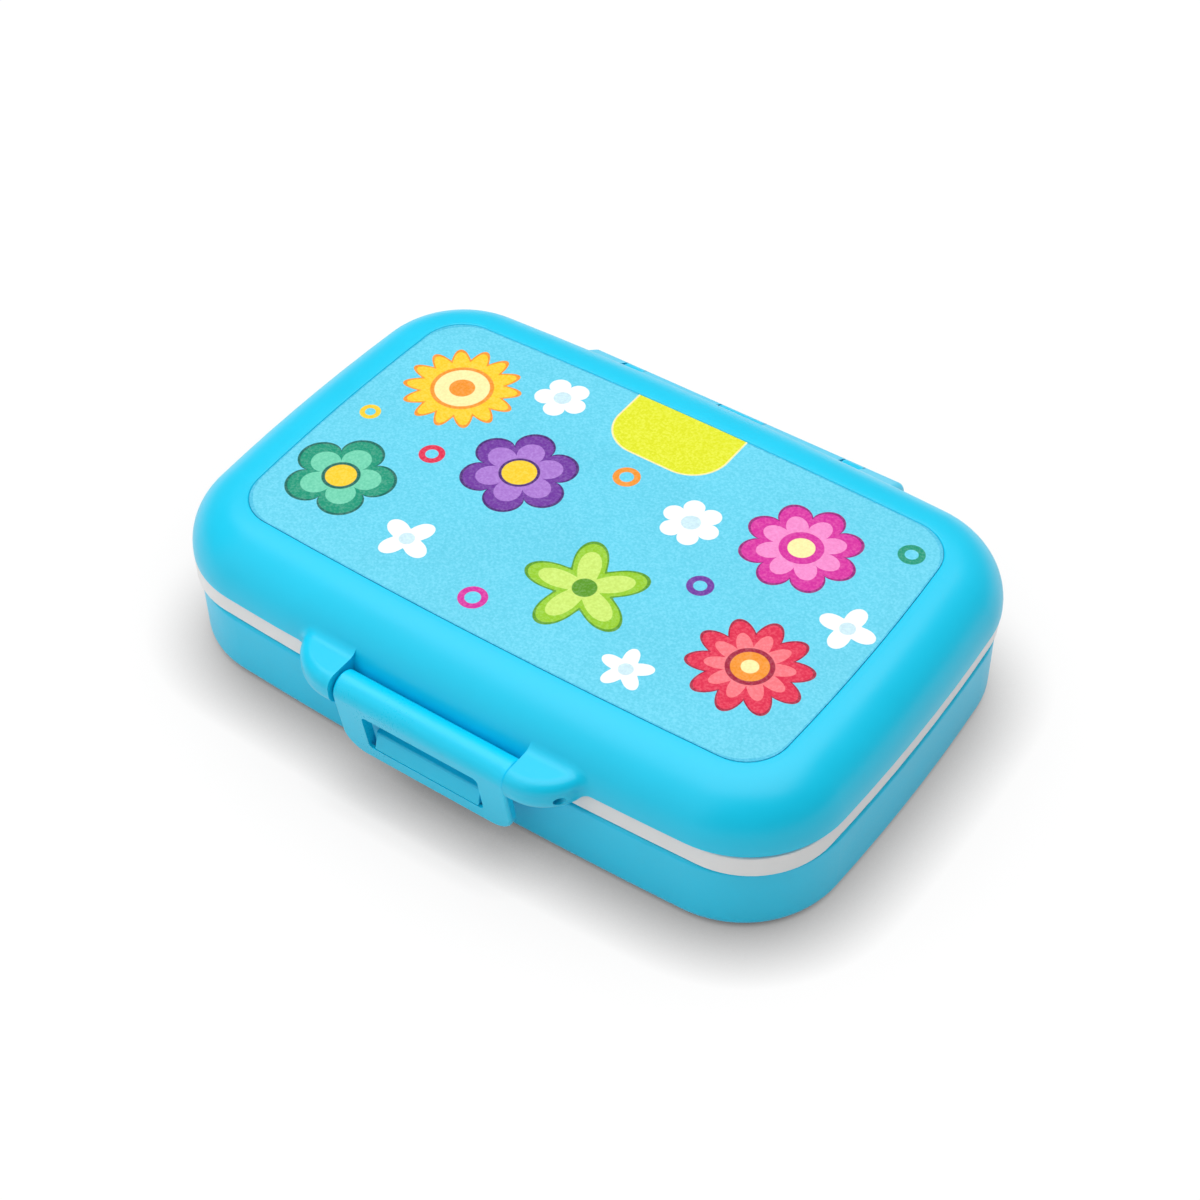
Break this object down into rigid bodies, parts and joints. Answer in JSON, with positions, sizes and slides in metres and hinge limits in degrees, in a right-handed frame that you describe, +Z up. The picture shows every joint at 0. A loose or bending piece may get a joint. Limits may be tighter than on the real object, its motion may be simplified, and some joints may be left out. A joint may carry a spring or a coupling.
{
  "type": "baby tooth box",
  "caption": "Flat keepsake box for milk teeth: rounded hinged lid with a windowed snap latch, white inner tray with a slotted divider grid, soft seal and a printed film on the lid.",
  "frame": {"origin": "middle of the underside, on the surface the box stands on", "axes": "+X along the latch side, the latch at the front on -Y, the hinge at the back on +Y, +Z up"},
  "size_m": [0.1232, 0.0932, 0.0271],
  "materials": {
    "lid_blue": "satin",
    "base_blue": "satin",
    "tray_white": "satin",
    "label_film": "fine grain",
    "seal": "soft translucent white",
    "wire": "drawn wire"
  },
  "bodies": {
    "base": {"base_shell": "base_blue", "inner_tray": "tray_white", "seal_ring": "seal", "hinge_pin": "wire", "long_divider_1": "tray_white", "long_divider_2": "tray_white", "long_divider_3": "tray_white", "cross_divider_1": "tray_white", "cross_divider_2": "tray_white", "cross_divider_3": "tray_white", "cross_divider_4": "tray_white"},
    "lid": {"lid_shell": "lid_blue", "lid_label": "label_film", "latch_pin": "wire"},
    "latch": {"latch_flap": "lid_blue"}
  },
  "joints": [
    {"name": "lid_hinge", "type": "hinge", "parent": "base", "child": "lid", "pos_m": [0, 0.04375, 0.01485], "axis": [-1, 0, 0], "range_deg": [0, 175]},
    {"name": "latch_hinge", "type": "hinge", "parent": "lid", "child": "latch", "pos_m": [0, -0.04345, 0.01795], "axis": [-1, 0, 0], "range_deg": [0, 160]}
  ]
}
